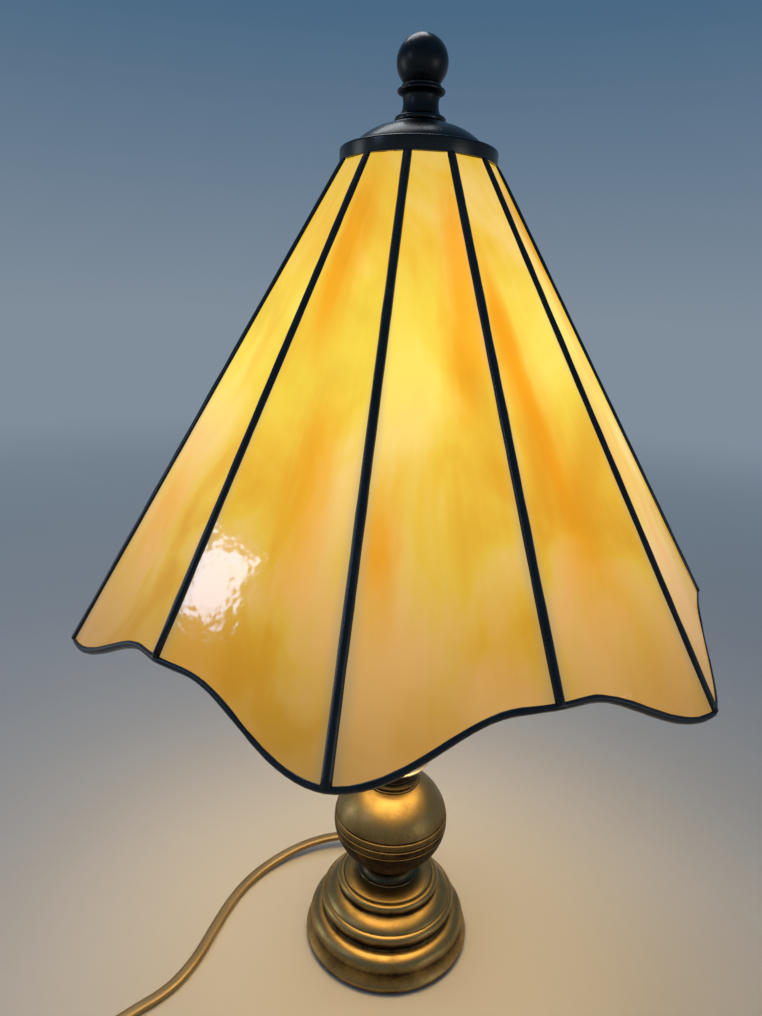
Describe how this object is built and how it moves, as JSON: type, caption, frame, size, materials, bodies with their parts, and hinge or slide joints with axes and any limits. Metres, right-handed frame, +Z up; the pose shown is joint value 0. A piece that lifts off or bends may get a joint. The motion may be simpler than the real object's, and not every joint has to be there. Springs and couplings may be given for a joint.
{
  "type": "stained glass table lamp",
  "caption": "Table lamp with a twelve-panel amber slag glass shade with a scalloped rim, held by a harp on a turned antique brass base with a ball stem.",
  "frame": {"origin": "on the table under the middle of the foot", "axes": "+Z up along the stem; -Y to the front; harp legs in the XZ plane"},
  "size_m": [0.2936, 0.3244, 0.4511],
  "materials": {
    "felt": "matt black felt",
    "antique_brass": "antique brass, worn satin",
    "iron": "rough cast",
    "zinc_steel": "zinc plated",
    "lamp_brass": "satin brass",
    "phenolic": "moulded phenolic",
    "fibre": "insulating card",
    "contact_brass": "bright brass",
    "key_plastic": "moulded black",
    "bulb_metal": "nickel plated",
    "bulb_insulation": "vitrite",
    "bulb_frosted": "frosted",
    "bulb_clear": "clear",
    "filament_wire": "tungsten",
    "slag_glass": "streaky amber and cream, glossy",
    "black_patina": "black patinated solder",
    "dark_bronze": "dark bronze, satin",
    "gold_flex": "gold PVC",
    "tie_black": "matt black",
    "rubber_bush": "matt"
  },
  "bodies": {
    "base": {"felt_pad": "felt", "foot_shell": "antique_brass", "iron_weight": "iron", "base_washer": "zinc_steel", "base_nut": "zinc_steel", "threaded_pipe": "zinc_steel", "neck": "antique_brass", "ball": "antique_brass", "ball_collar": "antique_brass", "dark_tube": "dark_bronze", "cup": "antique_brass", "holder_cap": "lamp_brass", "holder_body": "phenolic", "centre_contact": "contact_brass", "screw_shell": "contact_brass", "shell_liner": "fibre", "holder_shell": "lamp_brass", "harp_saddle": "lamp_brass", "harp_bow": "lamp_brass", "harp_stud": "lamp_brass", "outlet_bush": "rubber_bush", "inner_lead": "gold_flex", "flex_run": "gold_flex", "flex_coil": "gold_flex", "flex_tie": "tie_black", "flex_tail": "gold_flex", "plug_body": "gold_flex", "plug_pins": "contact_brass"},
    "key": {"switch_key": "key_plastic"},
    "bulb": {"bulb_cap": "bulb_metal", "bulb_insulator": "bulb_insulation", "bulb_eyelet": "bulb_metal", "bulb_glass": "bulb_frosted", "bulb_stem": "bulb_clear", "bulb_filament": "filament_wire"},
    "left_ferrule": {"ferrule_left": "lamp_brass"},
    "right_ferrule": {"ferrule_right": "lamp_brass"},
    "shade": {"glass_panel_01": "slag_glass", "glass_panel_02": "slag_glass", "glass_panel_03": "slag_glass", "glass_panel_04": "slag_glass", "glass_panel_05": "slag_glass", "glass_panel_06": "slag_glass", "glass_panel_07": "slag_glass", "glass_panel_08": "slag_glass", "glass_panel_09": "slag_glass", "glass_panel_10": "slag_glass", "glass_panel_11": "slag_glass", "glass_panel_12": "slag_glass", "corner_seams": "black_patina", "valley_seams": "black_patina", "rim_bead": "black_patina", "shade_ring": "lamp_brass", "vase_cap": "dark_bronze"},
    "finial": {"finial": "dark_bronze"}
  },
  "joints": [
    {"name": "shade_turn", "type": "hinge", "parent": "base", "child": "shade", "pos_m": [0, 0, 0.4], "axis": [0, 0, 1], "continuous": true},
    {"name": "finial_turn", "type": "hinge", "parent": "base", "child": "finial", "pos_m": [0, 0, 0.425], "axis": [0, 0, 1], "continuous": true},
    {"name": "bulb_turn", "type": "hinge", "parent": "base", "child": "bulb", "pos_m": [0, 0, 0.165], "axis": [0, 0, 1], "continuous": true},
    {"name": "switch_turn", "type": "hinge", "parent": "base", "child": "key", "pos_m": [0, 0.02, 0.157], "axis": [0, 1, 0], "continuous": true},
    {"name": "left_ferrule_slide", "type": "slide", "parent": "base", "child": "left_ferrule", "axis": [0, 0, 1], "range_m": [0, 0.01]},
    {"name": "right_ferrule_slide", "type": "slide", "parent": "base", "child": "right_ferrule", "axis": [0, 0, 1], "range_m": [0, 0.01]}
  ]
}
